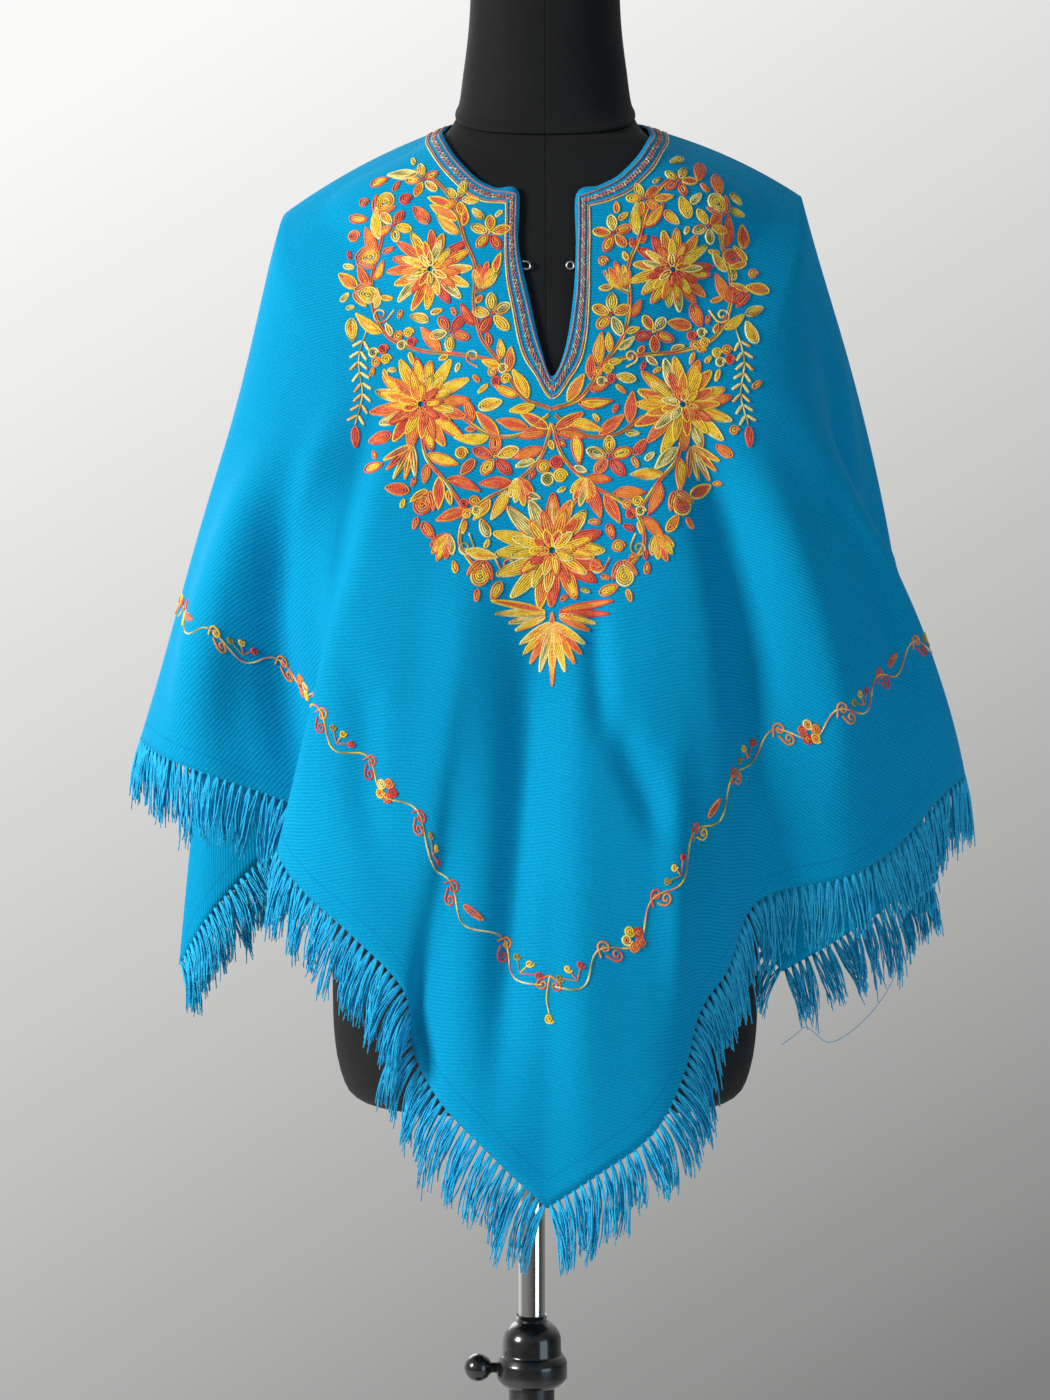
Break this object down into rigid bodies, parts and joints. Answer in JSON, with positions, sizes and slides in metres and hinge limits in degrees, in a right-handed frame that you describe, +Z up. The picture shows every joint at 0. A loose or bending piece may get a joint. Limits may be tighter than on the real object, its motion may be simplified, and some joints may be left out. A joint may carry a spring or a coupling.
{
  "type": "poncho on a limbless dress form with a stand",
  "caption": "Square poncho with a slit neck, pointed front and back, fringed hem and folded sides, worn by a limbless dress form on an adjustable stand.",
  "frame": {"origin": "on the floor, at the centre of the base's underside, under the mast's axis", "axes": "+Z up, -Y towards the front of the poncho, +X to the viewer's right of its front"},
  "size_m": [0.6297, 0.451, 1.653],
  "materials": {
    "cloth": "ribbed twill in bright blue, with chain-stitch embroidery",
    "fringe": "loose twisted yarn in the cloth's blue",
    "hook": "bright bent wire",
    "jersey": "matt black jersey cover",
    "chrome": "polished bar",
    "plastic": "glossy black",
    "stand": "satin black paint"
  },
  "bodies": {
    "stand": {"stand_base": "stand", "stand_column": "stand", "stand_socket": "plastic"},
    "mast": {"mast": "chrome"},
    "figure": {"form_torso": "jersey", "form_neck": "jersey", "neck_cap": "plastic", "poncho_cloth": "cloth", "fringe_front_right": "fringe", "fringe_back_right": "fringe", "fringe_back_left": "fringe", "fringe_front_left": "fringe", "neck_hook": "hook", "neck_eye": "hook"},
    "knob": {"clamp_knob": "plastic"}
  },
  "joints": [
    {"name": "mast_slide", "type": "slide", "parent": "stand", "child": "mast", "axis": [0, 0, 1], "range_m": [-0.1, 0.2]},
    {"name": "form_turn", "type": "hinge", "parent": "mast", "child": "figure", "pos_m": [0, 0, 0.806], "axis": [0, 0, 1], "continuous": true},
    {"name": "knob_turn", "type": "hinge", "parent": "stand", "child": "knob", "pos_m": [-0.04, 0, 0.608], "axis": [1, 0, 0], "continuous": true}
  ]
}
